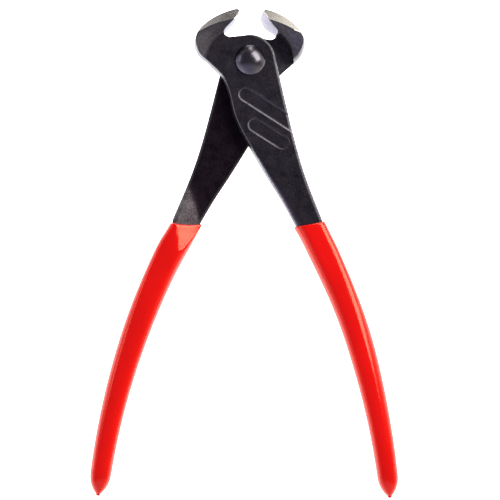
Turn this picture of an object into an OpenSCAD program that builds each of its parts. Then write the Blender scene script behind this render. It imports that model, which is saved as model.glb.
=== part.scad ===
// End cutting nippers: two crossed levers on one rivet, with dipped grips.
// The rivet's axis is Z, Y runs from the handles up to the jaws, and X is across the tool.
// Z is 0 on the flat back of the joint. Each lever is drawn in its closed place, with its lap face at Z 0.

/* [Head] */
// Width across both jaws when they are closed
head_width = 39.4; // [37:0.2:44]
// Height of the jaw crowns above the rivet
jaw_height = 20.4; // [19.4:0.2:22.4]
// Depth of the jaws along the rivet, over their flanks
jaw_depth = 26; // [22:0.5:30]
// Height of the flank that flares from the joint out to the full jaw depth
flank_height = 4.7; // [3.5:0.1:6]
// Height of the ground facet at each end of the cutting edge
facet_height = 3.3; // [2.4:0.1:4.2]
// How far the ground facet cuts into the jaw depth
facet_depth = 2.4; // [1:0.1:4]
// Tilt of the flank and the facet, seen along the rivet, in degrees
jaw_tilt = 7.5; // [4:0.5:11]
// Gap left between the cutting edges when the jaws are shut
edge_gap = 0.04; // [0.02:0.01:0.2]

/* [Joint] */
// Thickness of the two lapped levers together
joint_thickness = 13; // [10:0.5:16]
// Running gap between the two lap faces
lap_gap = 0.1; // [0.04:0.02:0.3]
// Radius of the rounded boss around the rivet
joint_radius = 9.5; // [8.5:0.1:10.2]
// Radius of the round shoulder at which a jaw takes its full depth
shoulder_radius = 14.8; // [13.8:0.1:15.6]
// How far the shoulder's centre lies from the rivet towards its jaw
shoulder_offset = 3; // [2:0.1:3.6]
// How far the shoulder's centre lies below the rivet
shoulder_drop = 1; // [0:0.1:1.5]
// Angle between the levers as the tool is stored, in degrees
rest_opening = 27.3; // [0:0.1:45]

/* [Levers] */
// Width of a lever beside the rivet
arm_width = 20; // [18:0.2:22]
// Distance below the rivet at which a lever starts to thin towards its handle
taper_start = 40; // [30:1:50]
// Distance below the rivet of the ramp that brings the lap side out to the handle
ramp_start = 54.3; // [50:0.1:58]
// Length over which the ramp comes out to the tang
ramp_run = 11.6; // [8:0.1:14]
// Angle of the ramp's edge across the lever, in degrees
ramp_angle = 59; // [45:1:70]
// How far a lever stands out beyond its tang at the mouth of the grip, on each side
arm_shoulder = 0.6; // [0.3:0.05:1]

/* [Handles] */
// Distance from the rivet to the end of the handles
handle_reach = 179.6; // [160:0.2:200]
// Offset of a handle from the middle of the tool at the mouth of its grip
handle_top_offset = 8.5; // [7.5:0.1:10]
// Offset of a handle from the middle of the tool at its end
handle_end_offset = 15.2; // [12:0.1:25]
// How far a handle bows outwards between those two points
handle_bow = 5.6; // [3:0.1:8]
// Width of the tang at the mouth of the grip
tang_width = 9.2; // [8:0.1:10.5]
// Width of the tang at the end of the handle
tang_end_width = 5.1; // [4.5:0.1:8]
// Thickness of the tang at the mouth of the grip
tang_thickness = 7.4; // [6:0.1:9]
// Thickness of the tang at the end of the handle
tang_end_thickness = 5; // [4:0.1:7]

/* [Grips] */
// Length of the dipped grips
grip_length = 112; // [90:1:120]
// Thickness of the grip around the flats of the tang
grip_wall = 1.5; // [1.2:0.05:2.2]
// Length of the pointed nose at the end of a grip
nose_length = 10; // [6:0.5:14]
// Radius of the drip at the very end of a grip
drip_radius = 0.9; // [0.4:0.1:1.2]

/* [Rivet] */
// Diameter of the rivet's shank
rivet_diameter = 8; // [6:0.1:9]
// Running clearance around the shank in the rear lever
rivet_clearance = 0.05; // [0.02:0.01:0.1]
// Diameter of the domed head
head_diameter = 12; // [10:0.1:14]
// Height of the domed head above its rim
dome_height = 2.9; // [2:0.1:4]
// Height of the straight rim under the dome
rim_height = 0.5; // [0.3:0.05:1]
// Diameter of the flush tail, spread into the countersink of the rear lever
tail_diameter = 11; // [9.5:0.1:13]
// Depth of the countersink
tail_depth = 1.6; // [1:0.1:2.5]

/* [Marking recesses] */
// Depth of the two bare recesses on the outer face of a lever
recess_depth = 0.4; // [0.2:0.05:0.8]
// Width of the upper recess, which runs out over the lever's edge
upper_recess_width = 4.9; // [3.5:0.1:5.5]
// Width of the lower recess
lower_recess_width = 4.8; // [3.5:0.1:5.5]
// Length of the lower recess between the centres of its round ends
lower_recess_length = 12.8; // [8:0.1:14]
// Slope of the recesses across the lever, in degrees
recess_slope = 45.5; // [35:0.5:55]

/* [Hidden] */
$fn = 96;

// How far a cutting shape runs past what it cuts
overrun = 1;
// Straight steps in each stretch of a curve
curve_steps = 4;
// Steps round the boss
boss_steps = 14;

half_joint = joint_thickness / 2;
half_depth = jaw_depth / 2;
lap = lap_gap / 2;
jaw_reach = head_width / 2;
arm_half = arm_width / 2;
grip_start = handle_reach - grip_length;
facet_foot = jaw_height - facet_height;
flank_foot = facet_foot - flank_height;
mouth_half = tang_width / 2 + arm_shoulder;
mouth_thickness = tang_thickness + 2 * arm_shoulder;
whole_length = handle_reach + jaw_height + overrun;

// Inside of a jaw, from its throat up to the cutting edge, in shares of jaw_reach and jaw_height
jaw_face_shares = [
    [-0.325, 0.485], [-0.38, 0.535], [-0.40, 0.59], [-0.365, 0.675],
    [-0.25, 0.75], [-0.125, 0.82], [-0.04, 0.91], [0, 0.95],
];
// Outside of a jaw, from the crown round to the root, in the same shares
jaw_back_shares = [
    [-0.035, 1], [-0.26, 0.988], [-0.5, 0.94], [-0.7, 0.868], [-0.875, 0.765],
    [-0.975, 0.64], [-1, 0.5], [-0.96, 0.33], [-0.835, 0.155], [-0.675, -0.08], [-0.6, -0.235],
];
// Outer and inner edge of a lever, in shares of arm_half and grip_start
arm_outer_shares = [[1.14, -0.76], [1.03, -0.57], [1, -0.36], [1, -0.16]];
arm_inner_shares = [
    [-1.1, -0.16], [-1.1, -0.27], [-1, -0.37], [-0.73, -0.51], [-0.37, -0.68], [0, -0.84],
];
// Centres of the recesses' upper ends, in shares of arm_half and grip_start
upper_recess_shares = [-0.495, -0.19];
lower_recess_shares = [-0.415, -0.375];
// Where the boss starts beside the lever's outer edge, in degrees
boss_from = -8;
// Shares of the grip's length between which the tang runs, from inside the lever
tang_start_share = -0.03;
tang_end_share = 0.93;
// Roundness of the grip's section: 2 is an ellipse, and more is squarer
grip_power = 2.8;
// How bluntly the grip's nose closes
nose_power = 2.8;
grip_sides = 20;
grip_rings = 16;
nose_rings = 6;

function scaled(shares, size) = [for (s = shares) [s.x * size.x, s.y * size.y]];
function reversed(points) = [for (i = [len(points) - 1:-1:0]) points[i]];
function mix(a, b, share) = a + (b - a) * share;

// A smooth curve through a list of points, as short straight steps
function curve_point(a, b, c, d, s) =
    (2 * b + (c - a) * s + (2 * a - 5 * b + 4 * c - d) * s ^ 2 + (3 * b - a - 3 * c + d) * s ^ 3) / 2;
function curve(p) =
    let (last = len(p) - 1)
    concat(
        [for (i = [0:last - 1], k = [0:curve_steps - 1])
            curve_point(p[max(i - 1, 0)], p[i], p[i + 1], p[min(i + 2, last)], k / curve_steps)],
        [p[last]]);

// The bowed centreline of a handle: share 0 is the mouth of the grip and 1 the handle's end
handle_top = [handle_top_offset, -grip_start];
handle_chord = [handle_end_offset, -handle_reach] - handle_top;
chord_out = [-handle_chord.y, handle_chord.x] / norm(handle_chord);
function handle_point(share) =
    handle_top + handle_chord * share + chord_out * handle_bow * 4 * share * (1 - share);
function handle_along(share) = handle_chord + chord_out * handle_bow * 4 * (1 - 2 * share);
function handle_out(share) = let (a = handle_along(share)) [-a.y, a.x] / norm(a);
function tang_half_width(share) = mix(tang_width, tang_end_width, share) / 2;
function tang_half_thickness(share) = mix(tang_thickness, tang_end_thickness, share) / 2;
function tang_edge(side) =
    [for (i = [0:grip_rings]) let (t = mix(tang_start_share, tang_end_share, i / grip_rings))
        handle_point(t) + handle_out(t) * side * tang_half_width(t)];

// Outline of a lever from the mouth of its grip up to the cutting edge
mouth_reach = mouth_half / handle_out(0).x;
mouth_outer = handle_top + [mouth_reach, 0];
mouth_inner = handle_top - [mouth_reach, 0];
boss_start = joint_radius * [cos(boss_from), sin(boss_from)];
jaw_size = [jaw_reach, jaw_height];
arm_size = [arm_half, grip_start];
boss = [for (i = [1:boss_steps]) let (a = mix(boss_from, 90, i / boss_steps)) joint_radius * [cos(a), sin(a)]];
lever_outline = concat(
    curve(concat([mouth_outer], scaled(arm_outer_shares, arm_size), [boss_start])),
    boss,
    curve(scaled(jaw_face_shares, jaw_size)),
    curve(concat(scaled(jaw_back_shares, jaw_size), scaled(arm_inner_shares, arm_size), [mouth_inner])));

// Half of a lever's side view: distance up from the rivet, and half thickness
facet_slope = [facet_height, -facet_depth];
side_profile = [
    [-whole_length, mouth_thickness / 2],
    [-grip_start, mouth_thickness / 2],
    [-taper_start, half_joint],
    [flank_foot, half_joint],
    [facet_foot, half_depth],
    [facet_foot, half_depth] + 2 * facet_slope,
];

module across_lever() {
    rotate([90, 0, 90])
        linear_extrude(height = whole_length, center = true)
            children();
}

// The thickness of a lever all along its length, with the flared flanks and ground facets of the jaw
module lever_sides() {
    rotate([0, 0, jaw_tilt])
        across_lever()
            polygon(concat(side_profile, reversed([for (p = side_profile) [p.x, -p.y]])));
}

// What is cut away behind the lap face below the rivet, down to the ramp
module lap_pocket() {
    ramp_depth = tang_thickness / 2 + lap;
    intersection() {
        translate([arm_half, -ramp_start, lap])
            rotate([90, 0, ramp_angle - 90])
                linear_extrude(height = 2 * whole_length, center = true)
                    polygon([
                        [-whole_length, 0], [0, 0], 2 * [ramp_run, -ramp_depth], [-whole_length, -2 * ramp_depth],
                    ]);
        translate([-whole_length / 2, -whole_length, -half_depth])
            cube([whole_length, whole_length, jaw_depth]);
    }
}

// What is cut away behind the lap face around the rivet, out to the jaw's shoulder
module lap_recess() {
    translate([-shoulder_offset, -shoulder_drop, lap - jaw_depth])
        cylinder(r = shoulder_radius, h = jaw_depth);
}

// A recess with round ends, from the origin along a length
module slot(width, length) {
    circle(d = width);
    translate([length, 0])
        circle(d = width);
    translate([0, -width / 2])
        square([length, width]);
}

// The two bare recesses on a lever's outer face
module marking_recesses() {
    translate([0, 0, half_joint - recess_depth])
        linear_extrude(height = recess_depth + overrun) {
            translate(scaled([upper_recess_shares], arm_size)[0])
                rotate(-recess_slope)
                    slot(upper_recess_width, 2 * arm_width);
            translate(scaled([lower_recess_shares], arm_size)[0])
                rotate(-recess_slope)
                    slot(lower_recess_width, lower_recess_length);
        }
}

// The tang inside the grip, tapering both ways
module tang() {
    thickness_profile = [for (t = [tang_start_share, tang_end_share]) [handle_point(t).y, tang_half_thickness(t)]];
    intersection() {
        linear_extrude(height = 2 * tang_thickness, center = true)
            polygon(concat(tang_edge(1), reversed(tang_edge(-1))));
        across_lever()
            polygon(concat(thickness_profile, reversed([for (p = thickness_profile) [p.x, -p.y]])));
    }
}

// One forging, the same for both levers, before its hole is drilled
module lever() {
    difference() {
        union() {
            intersection() {
                translate([-edge_gap / 2, 0, 0])
                    linear_extrude(height = jaw_depth, center = true)
                        polygon(lever_outline);
                lever_sides();
            }
            tang();
        }
        lap_pocket();
        lap_recess();
        marking_recesses();
    }
}

module rivet_hole(clearance) {
    translate([0, 0, -overrun])
        cylinder(d = rivet_diameter + 2 * clearance, h = half_joint + 2 * overrun);
}

// The rings of a grip, from above its mouth to the drip at its end
function nose_share(share) = min(1, (1 - share) * grip_length / nose_length);
function grip_closing(share) = 1 - (1 - nose_share(share)) ^ nose_power;
function grip_half(share, tang_half) = max(drip_radius, (tang_half + grip_wall) * grip_closing(share));
function rounded(c) = sign(c) * abs(c) ^ (2 / grip_power);
function grip_ring(share) =
    let (
        centre = handle_point(share),
        out = handle_out(share) * grip_half(share, tang_half_width(share)),
        rise = grip_half(share, tang_half_thickness(share)))
    [for (k = [0:grip_sides - 1]) let (a = 360 * k / grip_sides, p = centre + out * rounded(cos(a)))
        [p.x, p.y, rise * rounded(sin(a))]];

module grip_body() {
    nose_start = 1 - nose_length / grip_length;
    shares = concat(
        [for (i = [0:grip_rings - 1]) mix(tang_start_share, nose_start, i / grip_rings)],
        [for (i = [0:nose_rings]) mix(nose_start, 1, 1 - (1 - i / nose_rings) ^ 2)]);
    rings = len(shares);
    n = grip_sides;
    ends = [for (t = [tang_start_share, 1]) [handle_point(t).x, handle_point(t).y, 0]];
    points = concat([for (t = shares) each grip_ring(t)], ends);
    walls = [for (r = [0:rings - 2], k = [0:n - 1]) let (a = r * n + k, b = r * n + (k + 1) % n)
        each [[a, b + n, b], [a, a + n, b + n]]];
    mouth = [for (k = [0:n - 1]) [rings * n, k, (k + 1) % n]];
    tip = [for (k = [0:n - 1]) let (a = (rings - 1) * n) [rings * n + 1, a + (k + 1) % n, a + k]];
    polyhedron(points, concat(walls, mouth, tip));
}

// A dipped grip, cut level at its mouth, which follows its tang and the ramp
module grip() {
    difference() {
        grip_body();
        translate([-whole_length / 2, -grip_start, -half_depth])
            cube([whole_length, whole_length, jaw_depth]);
        translate([0, 0, -grip_wall])
            lap_pocket();
        lever();
    }
}

module front_side() {
    translate([0, 0, half_joint])
        rotate([0, 0, rest_opening / 2])
            children();
}

module rear_side() {
    translate([0, 0, half_joint])
        rotate([0, 180, -rest_opening / 2])
            children();
}

// Lever with the left jaw and the right handle, in which the rivet sits tight
module front_lever() {
    color("#29262a")
        front_side()
            difference() {
                lever();
                rivet_hole(0);
            }
}

// Lever with the right jaw and the left handle, which turns on the rivet
module rear_lever() {
    color("#29262a")
        rear_side()
            difference() {
                lever();
                rivet_hole(rivet_clearance);
                translate([0, 0, half_joint - tail_depth])
                    cylinder(
                        d1 = rivet_diameter + 2 * rivet_clearance,
                        d2 = tail_diameter + 2 * rivet_clearance,
                        h = tail_depth);
            }
}

// Rivet with a domed head in front and a tail spread flush behind
module pivot_rivet() {
    head_radius = head_diameter / 2;
    dome_radius = (head_radius ^ 2 + dome_height ^ 2) / (2 * dome_height);
    head_top = joint_thickness + rim_height;
    color("#1c1c20") {
        cylinder(d1 = tail_diameter, d2 = rivet_diameter, h = tail_depth);
        translate([0, 0, tail_depth])
            cylinder(d = rivet_diameter, h = head_top - tail_depth);
        translate([0, 0, joint_thickness])
            cylinder(r = head_radius, h = rim_height);
        intersection() {
            translate([0, 0, head_top + dome_height - dome_radius])
                sphere(r = dome_radius);
            translate([0, 0, head_top])
                cylinder(r = head_radius, h = dome_height);
        }
    }
}

module right_grip() {
    color("#e31409")
        front_side()
            grip();
}

module left_grip() {
    color("#e31409")
        rear_side()
            grip();
}

front_lever();
rear_lever();
pivot_rivet();
right_grip();
left_grip();
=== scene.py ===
import math

import bmesh
import bpy
import numpy as np
from mathutils import Matrix, Vector


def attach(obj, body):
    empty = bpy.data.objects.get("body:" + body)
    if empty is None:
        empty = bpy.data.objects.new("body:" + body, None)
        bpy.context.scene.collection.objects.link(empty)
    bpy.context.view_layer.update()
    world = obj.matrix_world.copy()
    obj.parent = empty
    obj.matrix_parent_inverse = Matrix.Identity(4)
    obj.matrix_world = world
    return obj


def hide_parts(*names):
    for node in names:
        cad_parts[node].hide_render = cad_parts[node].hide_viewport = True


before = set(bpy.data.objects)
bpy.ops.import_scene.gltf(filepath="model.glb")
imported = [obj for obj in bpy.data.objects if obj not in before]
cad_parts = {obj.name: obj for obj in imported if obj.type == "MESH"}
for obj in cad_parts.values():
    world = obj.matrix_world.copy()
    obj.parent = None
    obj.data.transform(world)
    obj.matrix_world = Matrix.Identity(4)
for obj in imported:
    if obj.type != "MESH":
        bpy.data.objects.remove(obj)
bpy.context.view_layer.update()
mm = 0.001
mergeGap, sliverGap = 2e-6, 1e-7      # metres
curveSteps = 24                       # steps between two points of a curve
scene = bpy.context.scene
print("frame loaded:", ", ".join(sorted(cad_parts)))


# smooth curve through points: between b and c it is (2b + (c-a)s + (2a-5b+4c-d)s^2 + (3b-a-3c+d)s^3) / 2
def curveThrough(points):
    p = np.asarray(points, float)
    last = len(p) - 1
    u = np.linspace(0, last, last * curveSteps + 1)
    i = np.minimum(u.astype(int), last - 1)
    s = (u - i)[:, None]
    a, b, c, d = p[np.maximum(i - 1, 0)], p[i], p[i + 1], p[np.minimum(i + 2, last)]
    return (2 * b + (c - a) * s + (2 * a - 5 * b + 4 * c - d) * s**2 + (3 * b - a - 3 * c + d) * s**3) / 2


def lengthAlong(path):
    return np.concatenate([[0.0], np.cumsum(np.linalg.norm(np.diff(path, axis=0), axis=1))])


def pointsAt(path, lengths):
    run = lengthAlong(path)
    return np.stack([np.interp(lengths, run, path[:, k]) for k in range(path.shape[1])], axis=-1)


# length along a path at which values, given at its points, pass a level nearest to a place
def lengthWhere(path, values, level, near):
    run = lengthAlong(path)
    off = np.asarray(values) - level
    hit = np.flatnonzero(off[:-1] * off[1:] <= 0)
    share = off[hit] / np.where(off[hit] == off[hit + 1], 1, off[hit] - off[hit + 1])
    at = path[hit] + (path[hit + 1] - path[hit]) * share[:, None]
    best = np.argmin(np.linalg.norm(at - np.asarray(near), axis=1))
    return run[hit[best]] + (run[hit[best] + 1] - run[hit[best]]) * share[best]


def lengthNear(path, place):
    return lengthAlong(path)[np.argmin(np.linalg.norm(path - np.asarray(place), axis=1))]


# 0 below 0, 1 above 1 and x^2 * (3 - 2x) between
def smooth(x):
    x = np.clip(x, 0, 1)
    return x * x * (3 - 2 * x)


# the larger of two values, with a soft corner: (a + b + sqrt((a-b)^2 + soft^2)) / 2
def softMax(a, b, soft):
    return (a + b + np.sqrt((a - b) ** 2 + soft**2)) / 2


# hump of exp(-(d / width)^2)
def hump(d, width):
    return np.exp(-((d / width) ** 2))


# rows of closed loops become one skin, which is closed at an end whose row is a pole
def skinObject(name, grid, attributes=None, faceSlots=None, sharpAngle=38):
    rows, columns = grid.shape[:2]
    index = np.arange(rows * columns).reshape(rows, columns)
    after = np.roll(index, -1, axis=1)
    quads = np.stack([index[:-1], after[:-1], after[1:], index[1:]], axis=-1).reshape(-1, 4)
    mesh = bpy.data.meshes.new(name)
    mesh.from_pydata((grid.reshape(-1, 3) * mm).tolist(), [], quads.tolist())
    if faceSlots is not None:
        mesh.polygons.foreach_set("material_index", faceSlots.reshape(-1).astype(np.int32))
    for key, values in (attributes or {}).items():
        layer = mesh.attributes.new(key, "FLOAT", "POINT")
        layer.data.foreach_set("value", values.reshape(-1).astype(np.float32))
    work = bmesh.new()
    work.from_mesh(mesh)
    bmesh.ops.remove_doubles(work, verts=work.verts, dist=mergeGap)
    bmesh.ops.dissolve_degenerate(work, edges=work.edges, dist=sliverGap)
    work.to_mesh(mesh)
    work.free()
    mesh.polygons.foreach_set("use_smooth", np.ones(len(mesh.polygons), bool))
    mesh.set_sharp_from_angle(angle=math.radians(sharpAngle))
    mesh.update()
    piece = bpy.data.objects.new(name, mesh)
    scene.collection.objects.link(piece)
    print(name, "triangles", len(mesh.loops) - 2 * len(mesh.polygons))
    return piece


# one row of a grid drawn together into its middle
def pole(row):
    return np.repeat(row[None].mean(axis=1, keepdims=True), len(row), axis=1)


# from a lever's closed frame to its place at rest
def turned(points, flip, degrees, lift):
    move = Matrix.Translation((0, 0, lift)) @ Matrix.Rotation(math.radians(degrees), 4, "Z")
    move = np.array(move @ Matrix.Rotation(math.radians(180 if flip else 0), 4, "Y"))
    return points @ move[:3, :3].T + move[:3, 3]


# handle line, shared by the tang and the grip
handle = {
    "start": 67.6, "reach": 179.6,          # distance of the grip's mouth and end below the rivet
    "topOffset": 8.5, "endOffset": 15.2,    # offset from the middle of the closed tool
    "bow": 5.6,
    "tangWidth": (9.2, 5.1), "tangThickness": (7.4, 5.0),
    "tangEnd": 0.93, "tangTop": 0.04, "tangLast": 0.03,     # shares of the handle's length
    "halfJoint": 6.5, "restTurn": 13.65,
}
handleTop = np.array([handle["topOffset"], -handle["start"]])
handleChord = np.array([handle["endOffset"], -handle["reach"]]) - handleTop
chordOut = np.array([-handleChord[1], handleChord[0]]) / np.linalg.norm(handleChord)


# the middle line bows out from its chord by bow * 4t(1-t)
def handlePoint(t):
    t = np.asarray(t, float)[..., None]
    return handleTop + handleChord * t + chordOut * handle["bow"] * 4 * t * (1 - t)


# unit vector across the middle line, to its outer side
def handleOut(t):
    t = np.asarray(t, float)[..., None]
    go = handleChord + chordOut * handle["bow"] * 4 * (1 - 2 * t)
    return np.stack([-go[..., 1], go[..., 0]], axis=-1) / np.linalg.norm(go, axis=-1, keepdims=True)


# the tang's half width or half thickness falls evenly along the handle
def tangHalf(t, key):
    wide, narrow = handle[key]
    return (wide + (narrow - wide) * np.asarray(t, float)) / 2


# ramp that brings a lever's lap side out to the middle of its handle
ramp = {
    "start": (10.0, -54.3), "out": (0.857, -0.515), "slope": 0.335,
    "lead": 0.57, "bow": 0.011, "bowMiddle": -7.5, "bowReach": 14.0, "soft": 1.5,
}


# drop below the lap face: slope times the distance past a line that bows by bow * (a - bowMiddle)^2
def rampDrop(p):
    rel = p - np.array(ramp["start"])
    out = np.array(ramp["out"])
    along = rel @ np.array([-out[1], out[0]])
    aside = np.clip(along - ramp["bowMiddle"], -ramp["bowReach"], ramp["bowReach"])
    past = rel @ out + ramp["lead"] - ramp["bow"] * aside**2
    return softMax(past, 0, ramp["soft"]) * ramp["slope"]


lever = {
    "jawReach": 19.7, "jawHeight": 20.4, "armHalf": 10.0, "bossRadius": 10.1, "bossTurn": (-8, 90),
    "halfDepth": 13.0, "lap": 0.05, "edgeGap": 0.02, "crownGap": 0.005, "jawTilt": 7.5,
    "facetFoot": 16.65, "facetFall": 0.727, "facetBow": 0.8,
    "facetCrown": 0.0045, "facetMiddle": -6.6,
    "shoulderCentre": (-3.0, -1.0), "shoulderRadius": 15.0, "shoulderBow": 1.65,
    "flankSoft": (0.5, 0.06), "lapFlankSoft": (0.05, 0.05),    # softness of the flank's foot at both ends
    "lapFlankLift": 2.8,            # on the lap side the foot rises towards the inner end
    "cliff": [(-0.05, 0), (-0.035, 0.04), (-0.02, 0.14), (0.006, 0.96), (0.012, 1)],
    "cliffLead": 0.06,              # how far below the shoulder the lap side starts to drop
    "taperStart": -36.0, "taperPower": 1.25, "mouthHalf": 5.2, "mouthThickness": 4.3,
    "jawFace": [(-0.303, 0.528), (-0.363, 0.570), (-0.388, 0.622), (-0.357, 0.688),
                (-0.245, 0.752), (-0.122, 0.825), (-0.04, 0.91), (0, 0.95)],
    "jawBack": [(-0.035, 1), (-0.26, 0.988), (-0.5, 0.94), (-0.7, 0.868), (-0.875, 0.765), (-0.975, 0.64),
                (-1, 0.5), (-0.96, 0.33), (-0.835, 0.155), (-0.675, -0.08), (-0.6, -0.235)],
    "armOuter": [(1.14, -0.76), (1.03, -0.57), (1, -0.36), (1, -0.16)],
    "armInner": [(-1.1, -0.16), (-1.1, -0.27), (-1, -0.37), (-0.73, -0.51), (-0.37, -0.68), (0, -0.84)],
    "panels": [((-4.95, -12.84), 40.0, 2.45), ((-4.15, -25.35), 12.8, 2.4)],    # start, length, half width
    "panelSlope": -45.5, "panelDepth": 0.4, "panelWall": 0.5,
    "panelLip": 0.07, "lipAt": 0.35, "lipWidth": 0.22,
    "edgeSteep": 0.62, "edgeShare": 0.72, "lapEdgeSpare": 0.2,    # steepness and most depth of broken edges
    "thinLap": 0.2,                 # a lap side that reaches down less than this has an upright wall
    "countersink": 5.6, "countersinkDepth": 1.6,
    "faceSteps": 104, "backSteps": 44, "wallSteps": 9, "edgeSteps": 60, "rungEven": 0.35,
}
# how far the black is rubbed off, with painted light laid on in the same way, where 1 is bare;
# widths are in mm, spreads and leads in stations
leverWearAndLight = {
    # the edge lines from leftEdge to rightEnd, and lapEdge, are worn steel with a painted highlight
    "leftEdge": 0.45, "leftByRoot": 0.2, "rootSpread": 0.9, "leftByGrip": 0.65, "leftWidth": (0.5, 0.26),
    "rightEdge": 1.1, "rightWidth": 0.6, "rightEnd": (0.8, 0.5),
    # flank and flankInner paint a reflection on the flanks; flankTop takes it back near the facet as
    # painted shade
    "flank": 0.24, "flankInner": 0.04, "flankTop": 0.08, "flankFoot": (0.3, 0.6), "flankTopOver": 0.5,
    # jawInside is bare steel with a painted reflection; lap paints light into the shadow round the rivet,
    # lapFlank a reflection
    "jawInside": 0.75, "insideLead": 0.6, "lap": 0.16, "lapLead": 0.4, "lapFlank": 0.04,
    "lapEdge": 0.5, "lapWidth": 0.6,
    # the panels' rims carry a painted highlight, brightest on the lower rim, where light from above falls
    "rimAt": 0.1, "rimWidth": 0.26, "rimUpper": 0.25, "rimTurn": (0.5, 0.9),
    "rimEnd": 0.15, "rimEndOver": 3.0, "rimStart": 0.68, "rimGain": 0.012, "rimGainOver": 26.0,
    # the ramp's bare steel fades in with depth, and its lighter colour is also a painted reflection
    "bareFrom": 0.22, "bareOver": 0.45,         # depth of the ramp where its bare steel fades in
}
# places in the table of stations
mouthAt, armAt, jointAt, rootAt, shoulderAt, facetAt, edgeAt, tipAt = 2, 4, 5, 6, 9, 10, 11, 12
blackSlot, groundSlot, lapSlot, crownSlot = 0, 1, 2, 3      # order of the levers' materials


# both edges of a lever, from the tang's end up to the jaw
def leverEdges():
    jawSize = np.array([lever["jawReach"], lever["jawHeight"]])
    armSize = np.array([lever["armHalf"], handle["start"]])
    shares = np.linspace(handle["tangEnd"], handle["tangLast"], lever["edgeSteps"])
    middle, out = handlePoint(shares), handleOut(shares)
    half = tangHalf(shares, "tangWidth")[:, None]
    mouth = np.array([lever["mouthHalf"] / handleOut(0.0)[0], 0.0])
    back, arm = np.array(lever["jawBack"]) * jawSize, np.array(lever["armInner"]) * armSize
    inner = curveThrough(np.concatenate([back, arm, [handleTop - mouth]])[::-1])
    crown = len(inner) - curveSteps              # the crown's highest point, where both edges end
    angles = np.radians(np.linspace(*lever["bossTurn"], lever["edgeSteps"]))
    boss = lever["bossRadius"] * np.stack([np.cos(angles), np.sin(angles)], axis=1)
    side = np.array(lever["armOuter"]) * armSize
    outer = curveThrough(np.concatenate([[handleTop + mouth], side, boss[:1]]))
    face = curveThrough(np.array(lever["jawFace"]) * jawSize)
    left = np.concatenate([middle - out * half, inner[:crown]])
    right = np.concatenate([middle + out * half, outer, boss[1:], face, inner[crown - 1:][::-1]])
    shift = np.array([lever["edgeGap"], lever["crownGap"]])
    return left - shift, right - shift


# height and reach of a point in the tilted frame of the jaw's facet
def tiltedHeight(p):
    a = math.radians(lever["jawTilt"])
    return -p[..., 0] * math.sin(a) + p[..., 1] * math.cos(a)


def tiltedReach(p):
    a = math.radians(lever["jawTilt"])
    return p[..., 0] * math.cos(a) + p[..., 1] * math.sin(a)


# the facet falls by facetFall above its foot and by facetCrown * w^2 away from its middle
def facetHeight(p):
    w = tiltedReach(p) - lever["facetMiddle"]
    high = lever["halfDepth"] - lever["facetCrown"] * w**2
    return high - lever["facetFall"] * np.maximum(tiltedHeight(p) - lever["facetFoot"], 0)


# outward normals of a path that runs upwards, with the metal on the given side
def edgeNormals(path, lengths, side):
    step = 0.12
    go = pointsAt(path, lengths + step) - pointsAt(path, lengths - step)
    go /= np.maximum(np.linalg.norm(go, axis=1, keepdims=True), 1e-9)
    return np.stack([go[:, 1], -go[:, 0]], axis=1) * side


# drop of a broken edge: v * (1 - d/e)^1.5 within e of the edge
def edgeDrop(d, e, v):
    return v * np.clip(1 - d / np.maximum(e, 1e-6), 0, 1) ** 1.5


# signed distance from a bar with round ends, below 0 inside it, and the place along and across it
def barDistance(p, start, length, half):
    a = math.radians(lever["panelSlope"])
    go = np.array([math.cos(a), math.sin(a)])
    rel = p - np.array(start)
    along = rel @ go
    across = rel @ np.array([-go[1], go[0]])
    near = rel - np.clip(along, 0, length)[..., None] * go
    return np.linalg.norm(near, axis=-1) - half, along, across


# Height of the panels and the painted highlight on their rims. A panel's floor is sunk inside the bar, and
# a lip of exp(-((d - lipAt) / lipWidth)^2) runs round it. The painted highlight is brightest on the lower
# rim, where light from above falls.
def panelRelief(p):
    pit, lip, rubAndLight = np.zeros(p.shape[:2]), np.zeros(p.shape[:2]), np.zeros(p.shape[:2])
    upper, far = leverWearAndLight["rimUpper"], leverWearAndLight["rimEnd"]
    turnAt, turnOver = leverWearAndLight["rimTurn"]
    for start, length, half in lever["panels"]:
        d, along, across = barDistance(p, start, length, half)
        pit = np.maximum(pit, smooth(0.5 - d / lever["panelWall"]))
        lip += hump(d - lever["lipAt"], lever["lipWidth"])
        lower = upper + (1 - upper) * smooth((-across / half + turnAt) / turnOver)
        fade = far + (1 - far) * smooth((length - along) / leverWearAndLight["rimEndOver"])
        gain = leverWearAndLight["rimStart"] + leverWearAndLight["rimGain"] * np.clip(along, 0, leverWearAndLight["rimGainOver"])
        rubAndLight = np.maximum(rubAndLight, hump(d - leverWearAndLight["rimAt"], leverWearAndLight["rimWidth"]) * lower * (fade * gain))
    return lever["panelLip"] * lip - lever["panelDepth"] * pit, rubAndLight


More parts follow.
